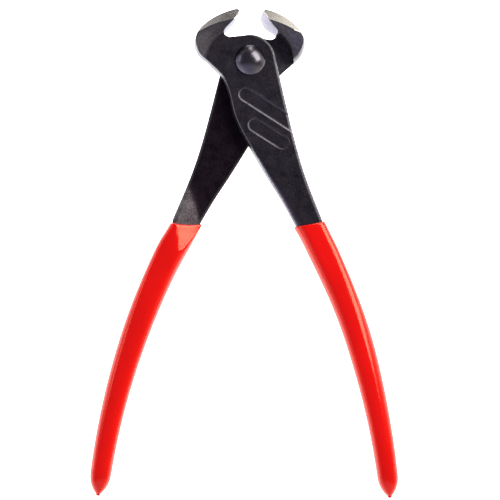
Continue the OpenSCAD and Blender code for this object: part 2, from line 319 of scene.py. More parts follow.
# Stations up a lever. A row gives the length on the left and the right edge, the rungs to the next station,
# the draft of the outer half's left and right wall, that of the lap half's walls, the rounding of the outer
# face's left and right edge, that of the lap side's edges, and the bow of the rung.
def leverStations(left, right):
    def atPlaces(leftPlace, rightPlace):
        return [lengthNear(left, leftPlace), lengthNear(right, rightPlace)]

    def leftAt(y, x):
        return lengthWhere(left, left[:, 1], y, (x, y))

    def rightAt(y, x):
        return lengthWhere(right, right[:, 1], y, (x, y))

    def leftTilted(level, near):
        return lengthWhere(left, tiltedHeight(left), level, near)

    def rightTilted(level, near):
        return lengthWhere(right, tiltedHeight(right), level, near)

    def onArc(path, near):
        away = np.linalg.norm(path - np.array(lever["shoulderCentre"]), axis=1)
        return lengthWhere(path, away, lever["shoulderRadius"], near)

    jawSize, shift = np.array([lever["jawReach"], lever["jawHeight"]]), np.array([lever["edgeGap"], 0])
    tip = np.array(lever["jawBack"][0]) * jawSize - shift
    edge = np.array(lever["jawFace"][-1]) * jawSize - shift
    top, foot, mouth = handle["tangTop"], lever["facetFoot"], -handle["start"]
    half = handleOut(top) * handle["tangWidth"][0] / 2
    return np.array([
        # tang's end, tang's top and grip's mouth
        [0, 0, 40, .05, .05, .05, .05, 1.8, 1.8, 1.8, 1.8, 0],
        [*atPlaces(handlePoint(top) - half, handlePoint(top) + half),
         8, .05, .05, .05, .05, 2.2, 1.6, 1.8, 1.8, 0],
        [leftAt(mouth, 3.3), rightAt(mouth, 13.7), 46, .10, .05, .06, .06, 2.6, 1.4, 1.2, 1.9, 0],
        # up the arm to the joint
        [leftAt(-46, -4), rightAt(-46, 10.5), 26, .06, .04, .05, .05, 1.3, 1.2, .5, .8, 0],
        [leftAt(-38, -6), rightAt(-38, 10), 150, .05, .03, .05, .05, .7, 1.1, .2, .3, 0],
        [leftAt(-8, -10.5), rightAt(-10, 10), 26, .04, .03, .05, .05, .5, 1.1, .2, .2, 0],
        # jaw's root, top of the boss, and up to the shoulder
        [*atPlaces((-13.3, -1.6), (9.3, 2.0)), 34, .03, .03, .08, .05, .5, .75, .2, .2, 0],
        [*atPlaces((-15.0, 0.9), (0, 9.5)), 16, .03, .02, .12, .02, .6, .3, .2, .2, 0],
        [*atPlaces((-15.9, 2.2), (-6.4, 9.9)), 14, .03, .02, .16, .02, .6, .25, .2, .2, .6],
        [onArc(left, (-17.1, 3.5)), onArc(right, (-7.6, 13)),
         46, .02, 0, .20, 0, .5, .2, .5, .2, lever["shoulderBow"]],
        # facet's foot, cutting edge, tip and crown's top
        [leftTilted(foot, (-17.8, 14.9)), rightTilted(foot, (-2.2, 17)),
         16, .01, 0, .11, 0, .2, .1, .12, .1, lever["facetBow"]],
        [leftTilted(tiltedHeight(edge), (-14, 17.5)), lengthNear(right, edge),
         8, .005, 0, .06, 0, .15, .06, .15, .06, .2],
        [leftTilted(tiltedHeight(tip), (-9.8, 19.2)), lengthNear(right, tip),
         8, 0, 0, .02, 0, .1, .06, .1, .06, 0],
        [lengthAlong(left)[-1], lengthAlong(right)[-1], 0, 0, 0, 0, 0, .1, .1, .1, .1, 0],
    ], float)


# places along a rung, closer together near both edges: a mix of u and (1 - cos(pi u)) / 2
def rungPlaces(count):
    u = np.linspace(0, 1, count)
    return lever["rungEven"] * u + (1 - lever["rungEven"]) * (0.5 - 0.5 * np.cos(np.pi * u))


# columns of a lever's grid at which the outer face ends and at which the lap side starts and ends
def leverColumns():
    faceEnd = lever["faceSteps"]
    lapStart = faceEnd + lever["wallSteps"]
    return faceEnd, lapStart, lapStart + lever["backSteps"]


# worn places and painted light: worn edge lines of both faces with a painted highlight, a painted highlight
# on the panels' rims, bare steel with a painted reflection inside the jaw, a painted reflection on its
# flanks, painted light in the shadow on the lap round the rivet, and bare steel on the ramp, lightened by a
# painted reflection
def leverMasks(t, fromSides, fromLapSides, rimHighlight, under):
    look = leverWearAndLight
    faceEnd, lapStart, lapEnd = leverColumns()
    wearAndLight, bare = np.zeros((2, len(t), lapEnd + lever["wallSteps"]))
    onArm = t > mouthAt
    endBy, endOver = look["rightEnd"]
    rightFade = onArm * smooth((rootAt + endBy - t) / endOver)
    byRoot = look["leftByRoot"] * hump(t - rootAt, look["rootSpread"])
    leftFade = onArm * (look["leftEdge"] + byRoot + look["leftByGrip"] * (t < armAt))
    leftWidth = np.interp(t, [mouthAt, jointAt], look["leftWidth"])[:, None]
    # lines along both edges of the outer face: worn steel with a painted highlight
    leftEdgeRubAndHighlight = hump(fromSides[0], leftWidth) * leftFade[:, None]
    rightEdgeRubAndHighlight = look["rightEdge"] * hump(fromSides[1], look["rightWidth"]) * rightFade[:, None]
    # painted reflection on the flanks, lessened near the facet by topShade, which is painted shade
    footBy, footOver = look["flankFoot"]
    onFlank = smooth((t - shoulderAt + footBy) / footOver)[:, None] * (t < facetAt)[:, None]
    topOver = look["flankTopOver"]
    topShade = look["flankTop"] * smooth((t - facetAt + topOver) / topOver)[:, None]
    flankSheen = onFlank * (look["flank"] + look["flankInner"] * rungPlaces(faceEnd)[None] - topShade)
    wearAndLight[:, :faceEnd] = np.maximum(np.maximum(leftEdgeRubAndHighlight, rightEdgeRubAndHighlight), rimHighlight) + flankSheen
    # inside of the jaw: bare ground steel, lightened further as a painted reflection of the floor
    wearAndLight[:, faceEnd:lapStart] = look["jawInside"] * (t > shoulderAt - look["insideLead"])[:, None]
    # painted light in the shadow on the lap round the rivet, and a painted reflection on the lap side's
    # flank
    roundRivet = (t > rootAt - look["lapLead"]) & (t < facetAt)
    # lines along the lap side's edges: worn steel with a painted highlight
    lapEdgeRubAndHighlight = np.maximum(hump(fromLapSides[0], look["lapWidth"]), hump(fromLapSides[1], look["lapWidth"]))
    lapLight = look["lap"] * roundRivet + look["lapFlank"] * (t > shoulderAt)
    wearAndLight[:, lapStart:lapEnd] = lapLight[:, None]
    wearAndLight[:, lapStart:lapEnd] += (look["lapEdge"] * lapEdgeRubAndHighlight * (onArm & (t < rootAt))[:, None])[:, ::-1]
    # bare steel on the ramp, whose lighter colour also paints the reflection of the light from above
    fadeIn = smooth((rampDrop(under[..., :2]) - look["bareFrom"]) / look["bareOver"])
    bare[:, lapStart:lapEnd] = fadeIn * (t < armAt)[:, None]
    return wearAndLight, bare


# material of each face: the facets, the cutting edge and the crown are ground, the crown's steel darkened
# as painted shade, and the lap side is duller
def leverSlots(t):
    faceEnd, lapStart, lapEnd = leverColumns()
    low = t[:-1]
    slots = np.full((len(low), lapEnd + lever["wallSteps"]), blackSlot)
    slots[low >= facetAt, :faceEnd - 1] = groundSlot
    slots[low >= facetAt, lapStart:lapEnd - 1] = groundSlot
    slots[low >= edgeAt, faceEnd - 1:lapStart] = groundSlot
    slots[low >= tipAt, faceEnd - 1:lapStart] = crownSlot
    slots[low >= tipAt, lapEnd - 1:] = crownSlot
    slots[low < rootAt - leverWearAndLight["lapLead"], lapStart:lapEnd] = lapSlot
    return slots


# A lever is a row of closed loops. Each loop has a rung on the outer face from the left edge to the right,
# a wall down the right edge, a rung back on the lap side and a wall up the left edge. A rung is a straight
# line with a bow of b * 4s(1-s), and the heights of both faces are functions of the place on the rung.
def leverGrid(countersunk):
    left, right = leverEdges()
    stations = leverStations(left, right)
    top = len(stations) - 1
    steps = stations[:-1, 2].astype(int)
    cliff = np.array(lever["cliff"])
    even = [k + np.arange(n) / n for k, n in enumerate(steps)]
    t = np.sort(np.concatenate(even + [[top], shoulderAt + cliff[:, 0]]))
    table = np.stack([np.interp(t, np.arange(top + 1), column) for column in stations.T])
    lengths, drafts, lapDrafts = table[:2], table[3:5], table[5:7]
    rounds, lapRounds, bow = table[7:9], table[9:11], table[11]
    lines = [pointsAt(left, lengths[0]), pointsAt(right, lengths[1])]
    normals = [edgeNormals(left, lengths[0], -1), edgeNormals(right, lengths[1], 1)]
    flank = np.clip(t - shoulderAt, 0, 1)[:, None]
    onFacet = (t >= facetAt)[:, None]
    onCliff = (t > shoulderAt - lever["cliffLead"])[:, None]
    tangShare = np.interp(t, [0, 1, mouthAt], [handle["tangEnd"], handle["tangTop"], 0.0])
    onTang = np.interp(t, [1, mouthAt], [1, 0])[:, None]
    tangHigh = tangHalf(tangShare, "tangThickness")[:, None]
    halfJoint = handle["halfJoint"]

    def rung(a, b, count):
        s = rungPlaces(count)[None, :, None]
        line = b - a
        across = np.stack([-line[:, 1], line[:, 0]], axis=1)
        across /= np.maximum(np.linalg.norm(line, axis=1, keepdims=True), 1e-6)
        return a[:, None] + line[:, None] * s + across[:, None] * (bow[:, None, None] * 4 * s * (1 - s))

    # half thickness before the edges are rounded: joint, taper to the handle, flank up to the facet's foot
    def outerHeight(p, s, soft="flankSoft", lift=0.0):
        thin = np.clip((p[..., 1] - lever["taperStart"]) / (-handle["start"] - lever["taperStart"]), 0, 1)
        high = halfJoint + (lever["mouthThickness"] - halfJoint) * thin ** lever["taperPower"]
        high = high + (tangHigh - high) * onTang
        outerSoft, innerSoft = lever[soft]
        foot = outerSoft + (innerSoft - outerSoft) * s[None]
        rise = (np.sqrt(flank**2 + foot**2) - foot) / (np.sqrt(1 + foot**2) - foot)
        crest = facetHeight(p[np.searchsorted(t, facetAt)])[None]
        high = high + onCliff * lift * s[None] * (1 - rise)
        return np.where(onFacet, facetHeight(p), high + (crest - halfJoint) * rise)

    # the lap side is flat round the rivet, sinks along the ramp, and drops to full depth at the shoulder
    def lapHeight(p, s):
        low = -outerHeight(p, s, "lapFlankSoft", lever["lapFlankLift"])
        sunk = np.maximum(lever["lap"] - rampDrop(p), low)
        fall = np.interp(t, shoulderAt + cliff[:, 0], cliff[:, 1])[:, None]
        return np.where(onCliff, lever["lap"] + (low - lever["lap"]) * fall, sunk)

    # depth of a face's two broken edges, and the lines along which it meets the walls
    def faceSides(full, drafts, rounds, spare=0.0):
        most = lever["edgeShare"] * np.abs(full.T) + spare
        deep = np.minimum(lever["edgeSteep"] * rounds, most)
        lean = drafts * np.maximum(full.T - deep, 0) ** 2 / np.maximum(full.T, 1e-3)
        return deep, [lines[k] - normals[k] * lean[k][:, None] for k in (0, 1)]

    # distance of each point from both edges of its face, and the drop of the broken edges there
    def brokenEdges(p, edges, rounds, deep):
        away = [np.einsum("ijk,ik->ij", edges[k][:, None] - p, normals[k]) for k in (0, 1)]
        drops = [edgeDrop(away[k], rounds[k][:, None], deep[k][:, None]) for k in (0, 1)]
        return away, drops[0] + drops[1]

    # a wall swells to the parting line: it leans in by draft * z^2 / full height
    def wall(k, fromZ, toZ):
        w = np.linspace(0, 1, lever["wallSteps"] + 2)[None, 1:-1]
        z = fromZ[:, None] + (toZ - fromZ)[:, None] * w
        outerLean = (drafts[k] / high[:, k])[:, None]
        lapLean = (lapDrafts[k] / np.maximum(-low[:, k], 1e-3))[:, None]
        lean = np.where(z > 0, outerLean, lapLean) * z**2
        lean = np.where((z < 0) & (low[:, k] > -lever["thinLap"])[:, None], 0, lean)
        p = lines[k][:, None] - normals[k][:, None] * lean[..., None]
        return np.concatenate([p, z[..., None]], axis=-1)

    both, ends = np.stack(lines, axis=1), np.array([0.0, 1.0])
    high, low = outerHeight(both, ends), lapHeight(both, ends)

    # outer face
    deep, edges = faceSides(high, drafts, rounds)
    front = rung(*edges, lever["faceSteps"])
    fromSides, drop = brokenEdges(front, edges, rounds, deep)
    relief, rimHighlight = panelRelief(front)
    flat = (t < shoulderAt - 1)[:, None]
    frontZ = outerHeight(front, rungPlaces(lever["faceSteps"])) + flat * relief - drop
    if countersunk:
        away = np.linalg.norm(front, axis=-1)
        frontZ = frontZ - np.clip(lever["countersink"] - away, 0, lever["countersinkDepth"])
    face = np.concatenate([front, frontZ[..., None]], axis=-1)

    # lap side
    lapDeep, lapEdges = faceSides(-low, lapDrafts, lapRounds, lever["lapEdgeSpare"])
    lap = rung(*lapEdges, lever["backSteps"])
    fromLapSides, lapDrop = brokenEdges(lap, lapEdges, lapRounds, lapDeep)
    lapZ = lapHeight(lap, rungPlaces(lever["backSteps"])) + lapDrop
    under = np.concatenate([lap, lapZ[..., None]], axis=-1)[:, ::-1]

    rightWall = wall(1, face[:, -1, 2], under[:, 0, 2])
    leftWall = wall(0, under[:, -1, 2], face[:, 0, 2])
    grid = np.concatenate([face, rightWall, under, leftWall], axis=1)
    wearAndLight, bare = leverMasks(t, fromSides, fromLapSides, rimHighlight * flat, under)
    slots = leverSlots(t)
    masks = {"wearAndLight": np.concatenate([wearAndLight[:1], wearAndLight]), "bare": np.concatenate([bare[:1], bare])}
    endSlots = np.full_like(slots[:1], blackSlot)
    return np.concatenate([pole(grid[0]), grid]), masks, np.concatenate([endSlots, slots])


leverPieces = {}
for name, node, body, flip, turn in [
    ("frontLeverForged", "front_lever", "front_half", False, handle["restTurn"]),
    ("rearLeverForged", "rear_lever", "rear_half", True, -handle["restTurn"]),
]:
    grid, masks, slots = leverGrid(countersunk=flip)
    piece = skinObject(name, turned(grid, flip, turn, handle["halfJoint"]), masks, slots)
    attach(piece, body)
    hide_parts(node)
    leverPieces[name] = piece


rivet = {
    "headRadius": 6.0, "domeHeight": 2.9, "rimHeight": 0.5, "shankRadius": 4.0,
    "tailRadius": 5.5, "tailDepth": 1.6, "headSeat": 13.0,
    "dishRadius": 2.5, "dish": 0.03,        # the tail's face is slightly hollow
    # corners: in from the radius of the tail or the head, and up from the tail's face, the seat or the rim
    "tailRound": [(0.35, 0.0), (0.12, 0.03), (0.0, 0.12)], "neck": (-0.3, -0.02),
    "underRim": [(0.12, -0.02), (0.0, 0.1)], "overRim": [(0.0, -0.14), (0.03, -0.04)], "domeInset": 0.1,
    "around": 128, "domeSteps": 40, "sharpAngle": 40,
}


# a profile of radius and height turned round the rivet's axis, from the tail to the top of the dome
def rivetGrid():
    high, r = rivet["domeHeight"], rivet["headRadius"]
    tail, shank = rivet["tailRadius"], rivet["shankRadius"]
    seat, rim, dish = rivet["headSeat"], rivet["headSeat"] + rivet["rimHeight"], rivet["dish"]
    ball = (r**2 + high**2) / (2 * high)
    a = np.linspace(math.asin((r - rivet["domeInset"]) / ball), 0, rivet["domeSteps"])
    dome = np.stack([ball * np.sin(a), rim + high - ball + ball * np.cos(a)], axis=1)
    stem = np.array([
        [0, dish], [rivet["dishRadius"], dish],
        *[[tail - back, z] for back, z in rivet["tailRound"]],
        [shank, rivet["tailDepth"]],
        *[[shank, seat + z] for z in rivet["neck"]],
        *[[r - back, seat + z] for back, z in rivet["underRim"]],
        *[[r - back, rim + z] for back, z in rivet["overRim"]],
    ])
    profile = np.concatenate([stem, dome])
    turn = np.linspace(0, 2 * np.pi, rivet["around"], endpoint=False)
    ring = np.stack([np.cos(turn), np.sin(turn)], axis=-1)[None] * profile[:, None, :1]
    return np.concatenate([ring, np.broadcast_to(profile[:, None, 1:], ring.shape[:2] + (1,))], axis=-1)


rivetPiece = skinObject("pivotRivetTurned", rivetGrid(), sharpAngle=rivet["sharpAngle"])
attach(rivetPiece, "front_half")
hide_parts("pivot_rivet")


grip = {
    "wall": 1.49, "noseLength": 10.0, "nosePower": 2.8, "dripRadius": 0.9, "dripLength": 0.8,
    "squareOut": 4.0, "squareIn": 2.05, "squareEnd": 2.2,       # power of the section: 2 is an ellipse
    "squareFade": 0.5,
    "lipRadius": 0.55, "lipSwell": 0.04, "lipSwellAt": 1.2, "lipSwellOver": 1.3,
    "boreDepth": 0.935, "boreGap": 0.03, "rampSoft": 0.12,
    # a dipped coat is uneven: side (1 outer, -1 inner), extra wall, where along the handle, over what share
    "swells": {
        "right": [(1, 0.6, 0.42, 0.20), (1, 0.25, 0.0, 0.04), (-1, 0.4, 0.0, 0.04), (-1, -0.3, 0.34, 0.15)],
        "left": [(1, 0.2, 0.38, 0.20), (-1, 0.7, 0.0, 0.10), (-1, 0.1, 0.42, 0.20)],
    },
    "mouth": {"right": (-67.65, -0.04, 0.35), "left": (-68.15, -0.21, 0.7)},    # level, lean and sag
    "mouthHalf": 6.0, "mouthFade": 0.13,
    "around": 128, "noseRings": 44, "lengthRings": 90, "mouthRings": 130,
    "lipRings": 9, "boreRings": (8, 30),
    "mouthZone": 0.22, "lipShare": 0.005, "boreTop": (0.004, 0.05),     # shares of the handle
    "sharpAngle": 50,
}


# A grip is a row of rings. Ring t lies across the handle's middle line, and its point at angle a is
# halfWidth * sign(cos a)|cos a|^(2/p) out and halfHeight * sign(sin a)|sin a|^(2/p) up. The rings run from
# the drip at the end up the outside, over the lip of the mouth and down the bore.
def gripGrid(mouth, swells):
    length = handle["reach"] - handle["start"]
    nose, zone, lipShare = 1 - grip["noseLength"] / length, grip["mouthZone"], grip["lipShare"]
    outside = np.concatenate([
        1 - (1 - nose) * np.linspace(0, 1, grip["noseRings"]) ** 2,
        nose - (nose - zone) * np.linspace(0, 1, grip["lengthRings"])[1:],
        zone - (zone - lipShare) * np.linspace(0, 1, grip["mouthRings"])[1:],
    ])
    lip = np.radians(np.linspace(0, 90, grip["lipRings"]))[1:]
    boreFrom, boreNext = grip["boreTop"]
    topRings, downRings = grip["boreRings"]
    boreEnd = np.linspace(boreNext, grip["boreDepth"], downRings)[1:]
    bore = np.concatenate([np.linspace(boreFrom, boreNext, topRings), boreEnd])
    share = np.concatenate([outside, lipShare - lipShare * np.sin(lip), bore])
    inBore = np.arange(len(share)) >= len(outside) + len(lip)
    swell = grip["lipSwell"] * hump(outside * length - grip["lipSwellAt"], grip["lipSwellOver"])
    cover = np.concatenate([
        grip["wall"] + swell,
        grip["wall"] - grip["lipRadius"] * (1 - np.cos(lip)),
        np.full(len(bore), grip["boreGap"]),
    ])
    toEnd = (1 - share) * length
    close = 1 - (1 - np.clip(toEnd / grip["noseLength"], 0, 1)) ** grip["nosePower"]
    close[inBore] = 1
    halfWide = np.maximum((tangHalf(share, "tangWidth") + cover) * close, grip["dripRadius"])
    halfHigh = np.maximum((tangHalf(share, "tangThickness") + cover) * close, grip["dripRadius"])

    def extraWall(side):
        extra = sum(more * hump(share - at, span) for way, more, at, span in swells if way == side)
        return extra * np.where(inBore, 0, 1)

    end = np.clip(toEnd / grip["dripLength"], 0, 1)          # the drip itself closes as a small round cap
    cap = np.where(inBore, 1, np.sqrt(np.maximum(1 - (1 - end) ** 2, 0)))
    a = np.linspace(0, 2 * np.pi, grip["around"], endpoint=False)[None]
    c, s = np.cos(a), np.sin(a)
    square = grip["squareIn"] + (grip["squareOut"] - grip["squareIn"]) * (0.5 + 0.5 * c)
    power = 2 / (square + (grip["squareEnd"] - square) * smooth(share / grip["squareFade"])[:, None])
    c = np.sign(c) * np.abs(c) ** power
    s = np.sign(s) * np.abs(s) ** power
    innerHalf, outerHalf = (halfWide + extraWall(-1))[:, None], (halfWide + extraWall(1))[:, None]
    reach = np.where(c < 0, innerHalf, outerHalf) * cap[:, None]
    middle, out = handlePoint(share), handleOut(share)
    flat = middle[:, None] + out[:, None] * (c * reach)[..., None]
    z = s * (halfHigh * cap)[:, None]
    # the mouth lies on its own sagging line, and the shift fades out down the handle
    level, lean, sag = mouth
    fade = smooth(1 - share / grip["mouthFade"])[:, None]
    v = flat[..., 0] - handle["topOffset"]
    line = level + lean * v - sag * (1 - (v / grip["mouthHalf"]) ** 2)
    flat[..., 1] += fade * (line + handle["start"] - (flat[..., 1] - middle[:, None, 1]))
    # over the ramp the coat and its bore follow the lever
    plane = lever["lap"] - cover[:, None] - rampDrop(flat)
    z = np.where(z < 0, np.minimum(softMax(z, plane, grip["rampSoft"]), 0), z)
    grid = np.concatenate([flat, z[..., None]], axis=-1)
    # the drip ends in a pole; the end of the bore, deep inside, has none and is open
    return np.concatenate([pole(grid[0]), grid])[:, ::-1]


gripPieces = {}
for side, node, body, flip, turn in [
    ("right", "right_grip", "front_half", False, handle["restTurn"]),
    ("left", "left_grip", "rear_half", True, -handle["restTurn"]),
]:
    grid = turned(gripGrid(grip["mouth"][side], grip["swells"][side]), flip, turn, handle["halfJoint"])
    piece = skinObject(side + "GripDipped", grid, sharpAngle=grip["sharpAngle"])
    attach(piece, body)
    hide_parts(node)
    gripPieces[side] = piece


def newGroup(name, inputs, outputs):
    group = bpy.data.node_groups.new(name, "ShaderNodeTree")
    for label, kind, value in inputs:
        socket = group.interface.new_socket(name=label, in_out="INPUT", socket_type=kind)
        if value is not None:
            socket.default_value = value
    for label, kind in outputs:
        group.interface.new_socket(name=label, in_out="OUTPUT", socket_type=kind)
    return group, group.nodes.new("NodeGroupInput"), group.nodes.new("NodeGroupOutput")


# a node with its settings, and with plain values of and links into its inputs, by name or number
def addNode(tree, kind, links=None, values=None, **settings):
    node = tree.nodes.new(kind)
    for key, value in settings.items():
        setattr(node, key, value)
    for socket, value in (values or {}).items():
        node.inputs[socket].default_value = value
    for socket, source in (links or {}).items():
        tree.links.new(source, node.inputs[socket])
    return node


def maths(tree, operation, a, b, clamp=False):
    node = addNode(tree, "ShaderNodeMath", operation=operation, use_clamp=clamp)
    for k, value in enumerate([a, b]):
        if isinstance(value, (int, float)):
            node.inputs[k].default_value = value
        else:
            tree.links.new(value, node.inputs[k])
    return node.outputs[0]


def ranged(tree, value, fromMin, fromMax, toMin, toMax):
    node = addNode(tree, "ShaderNodeMapRange", {0: value}, interpolation_type="SMOOTHSTEP")
    for k, number in enumerate([fromMin, fromMax, toMin, toMax]):
        node.inputs[k + 1].default_value = number
    return node.outputs[0]


def blend(tree, factor, low, high):
    node = addNode(tree, "ShaderNodeMix", {"Factor": factor}, data_type="RGBA")
    for key, value in (("A", low), ("B", high)):
        socket = [x for x in node.inputs if x.name == key and x.type == "RGBA"][0]
        if isinstance(value, tuple):
            socket.default_value = (*value, 1)
        else:
            tree.links.new(value, socket)
    return [x for x in node.outputs if x.type == "RGBA"][0]


def noise(tree, place, scale, **values):
    return addNode(tree, "ShaderNodeTexNoise", {"Vector": place, "Scale": scale}, values).outputs[0]


grainLook = {"fine": 0.6, "broad": 0.4, "broadScale": 0.16, "cellScale": 0.45, "pitEdge": (0.05, 0.30)}
rubAndLightLook = {"noise": (0.30, 0.62), "left": (0.35, 1.0)}
smudgeLook = {"from": 0.3, "to": 0.7}


# fine grain of a blasted or moulded surface: two noises and scattered pits
def makeGrain():
    group, into, out = newGroup(
        "fineGrain",
        [("Place", "NodeSocketVector", None), ("Scale", "NodeSocketFloat", 900.0),
         ("Pits", "NodeSocketFloat", 0.3)],
        [("Tint", "NodeSocketFloat"), ("Height", "NodeSocketFloat")])
    place, scale, pits = into.outputs[0], into.outputs[1], into.outputs[2]
    fine = noise(group, place, scale, Detail=4.0, Roughness=0.65)
    broad = noise(group, place, maths(group, "MULTIPLY", scale, grainLook["broadScale"]), Detail=3.0)
    cellScale = maths(group, "MULTIPLY", scale, grainLook["cellScale"])
    cells = addNode(group, "ShaderNodeTexVoronoi", {"Vector": place, "Scale": cellScale})
    hole = ranged(group, cells.outputs["Distance"], *grainLook["pitEdge"], 1.0, 0.0)
    sunk = maths(group, "MULTIPLY", hole, pits)
    finePart = maths(group, "MULTIPLY", fine, grainLook["fine"])
    mixed = maths(group, "ADD", finePart, maths(group, "MULTIPLY", broad, grainLook["broad"]))
    group.links.new(mixed, out.inputs[0])
    group.links.new(maths(group, "SUBTRACT", mixed, sunk), out.inputs[1])
    return group


# breaks up a mask of worn edges and painted light with noise
def makeRubAndLight():
    group, into, out = newGroup(
        "edgeRubAndLight",
        [("Place", "NodeSocketVector", None), ("WornAndLit", "NodeSocketFloat", 0.0),
         ("Scale", "NodeSocketFloat", 500.0)],
        [("Mask", "NodeSocketFloat")])
    patches = noise(group, into.outputs[0], into.outputs[2], Detail=3.0, Roughness=0.6)
    patchy = ranged(group, patches, *rubAndLightLook["noise"], *rubAndLightLook["left"])
    group.links.new(maths(group, "MULTIPLY", into.outputs[1], patchy, clamp=True), out.inputs[0])
    return group


# soft smudges from handling, for gloss
def makeSmudge():
    group, into, out = newGroup(
        "handSmudge",
        [("Place", "NodeSocketVector", None), ("Scale", "NodeSocketFloat", 60.0),
         ("Low", "NodeSocketFloat", 0.0), ("High", "NodeSocketFloat", 1.0)],
        [("Value", "NodeSocketFloat")])
    clouds = noise(group, into.outputs[0], into.outputs[1], Detail=5.0, Roughness=0.55, Distortion=0.6)
    links = {0: clouds, 3: into.outputs[2], 4: into.outputs[3]}
    node = addNode(group, "ShaderNodeMapRange", links, {1: smudgeLook["from"], 2: smudgeLook["to"]})
    group.links.new(node.outputs[0], out.inputs[0])
    return group


grainGroup, rubAndLightGroup, smudgeGroup = makeGrain(), makeRubAndLight(), makeSmudge()


def useGroup(tree, group, links, **values):
    return addNode(tree, "ShaderNodeGroup", links, values, node_tree=group)


def newMaterial(name):
    material = bpy.data.materials.new(name)
    material.use_nodes = True
    return material, material.node_tree, material.node_tree.nodes["Principled BSDF"]


# a material with what every surface of the part has: grain, and a gloss that handling has made uneven
def partMaterial(name, look):
    material, tree, shader = newMaterial(name)
    place = tree.nodes.new("ShaderNodeTexCoord").outputs["Object"]
    low, high = look["roughness"]
    grain = useGroup(tree, grainGroup, {"Place": place}, Scale=look["grain"], Pits=look["pits"])
    smudge = useGroup(tree, smudgeGroup, {"Place": place}, Scale=look["smudgeScale"], Low=low, High=high)
    tree.links.new(smudge.outputs[0], shader.inputs["Roughness"])
    return material, tree, shader, place, grain


def setGloss(shader, look):
    shader.inputs["Specular IOR Level"].default_value = look["gloss"]
    shader.inputs["Specular Tint"].default_value = (*look["sheen"], 1)


def bump(tree, shader, height, look):
    values = {"Distance": look["relief"], "Strength": look["strength"]}
    node = addNode(tree, "ShaderNodeBump", {"Height": height}, values)
    tree.links.new(node.outputs[0], shader.inputs["Normal"])


blackSteel = {
    "dark": (0.0010, 0.0008, 0.0010), "light": (0.0145, 0.0110, 0.0125), "tintRange": (0.36, 0.64),
    "wornAndLit": (0.40, 0.377, 0.392), "wornAndLitShare": 0.6, "wornAndLitMetal": 0.85, "rubAndLightScale": 1300.0,
    "roughness": (0.30, 0.38), "smudgeScale": 110.0, "gloss": 0.34, "sheen": (0.78, 0.76, 1.0),
    "grain": 1500.0, "pits": 0.35, "relief": 0.00017, "strength": 0.7,
}
lapSteel = dict(
    blackSteel, dark=(0.0008, 0.0004, 0.0008), light=(0.0080, 0.0052, 0.0074),
    gloss=0.17, sheen=(0.74, 0.50, 0.70))
# the ramp's colour is bare steel lightened by a painted reflection of the light from above
rampSteelAndReflection = {"dark": (0.022, 0.020, 0.019), "light": (0.110, 0.101, 0.098)}


# blackened steel, with the ramp's bare steel and its painted reflection, and the rubbed places with their
# painted light, laid over it by the lever's two masks
def makeBlackSteel(name, look):
    material, tree, shader, place, grain = partMaterial(name, look)
    wornAndLit = addNode(tree, "ShaderNodeAttribute", attribute_name="wearAndLight").outputs["Fac"]
    bare = addNode(tree, "ShaderNodeAttribute", attribute_name="bare").outputs["Fac"]
    rubAndLight = useGroup(tree, rubAndLightGroup, {"Place": place, "WornAndLit": wornAndLit}, Scale=look["rubAndLightScale"]).outputs[0]
    tint = ranged(tree, grain.outputs["Tint"], *look["tintRange"], 0.0, 1.0)
    colour = blend(tree, tint, look["dark"], look["light"])
    colour = blend(tree, bare, colour, blend(tree, tint, rampSteelAndReflection["dark"], rampSteelAndReflection["light"]))
    # rubbed steel and painted light share one worn colour and one metal
    colour = blend(tree, maths(tree, "MULTIPLY", rubAndLight, look["wornAndLitShare"]), colour, look["wornAndLit"])
    tree.links.new(colour, shader.inputs["Base Color"])
    tree.links.new(maths(tree, "MULTIPLY", rubAndLight, look["wornAndLitMetal"]), shader.inputs["Metallic"])
    setGloss(shader, look)
    bump(tree, shader, grain.outputs["Height"], look)
    return material


groundSteel = {
    "dark": (0.43, 0.405, 0.38), "light": (0.54, 0.51, 0.48), "tintRange": (0.36, 0.66),
    "roughness": (0.16, 0.24), "smudgeScale": 220.0,
    "lines": 2200.0, "stretch": (1.0, 1.0, 0.04), "lineShare": 0.65, "grainShare": 0.35,
    "grain": 1500.0, "pits": 0.2, "relief": 0.000003, "strength": 0.35,
}
# the crown's steel is ground steel darkened as painted shade, holding down the top strip's reflection there
shadedCrownSteel = dict(
    groundSteel, dark=(0.050, 0.048, 0.047), light=(0.135, 0.130, 0.127), roughness=(0.34, 0.44))


# ground steel: the wheel's marks run along the edge
def makeGroundSteel(name, look):
    material, tree, shader, place, grain = partMaterial(name, look)
    stretch = addNode(tree, "ShaderNodeMapping", {"Vector": place}, {"Scale": look["stretch"]})
    linesLook = {"Scale": look["lines"], "Detail": 3.0}
    lines = addNode(tree, "ShaderNodeTexNoise", {"Vector": stretch.outputs[0]}, linesLook)
    fineMark = maths(tree, "MULTIPLY", grain.outputs["Tint"], look["grainShare"])
    mark = maths(tree, "ADD", maths(tree, "MULTIPLY", lines.outputs[0], look["lineShare"]), fineMark)
    tint = ranged(tree, mark, *look["tintRange"], 0.0, 1.0)
    tree.links.new(blend(tree, tint, look["dark"], look["light"]), shader.inputs["Base Color"])
    shader.inputs["Metallic"].default_value = 1.0
    bump(tree, shader, lines.outputs[0], look)
    return material


rivetSteel = {
    "dark": (0.074, 0.069, 0.079), "light": (0.094, 0.088, 0.100), "tintRange": (0.35, 0.65),
    "roughness": (0.22, 0.28), "smudgeScale": 320.0,
    "grain": 1100.0, "pits": 0.1, "relief": 0.00002, "strength": 0.3,
}


def makeRivetSteel(name, look):
    material, tree, shader, _, grain = partMaterial(name, look)
    tint = ranged(tree, grain.outputs["Tint"], *look["tintRange"], 0.0, 1.0)
    tree.links.new(blend(tree, tint, look["dark"], look["light"]), shader.inputs["Base Color"])
    shader.inputs["Metallic"].default_value = 1.0
    bump(tree, shader, grain.outputs["Height"], look)
    return material


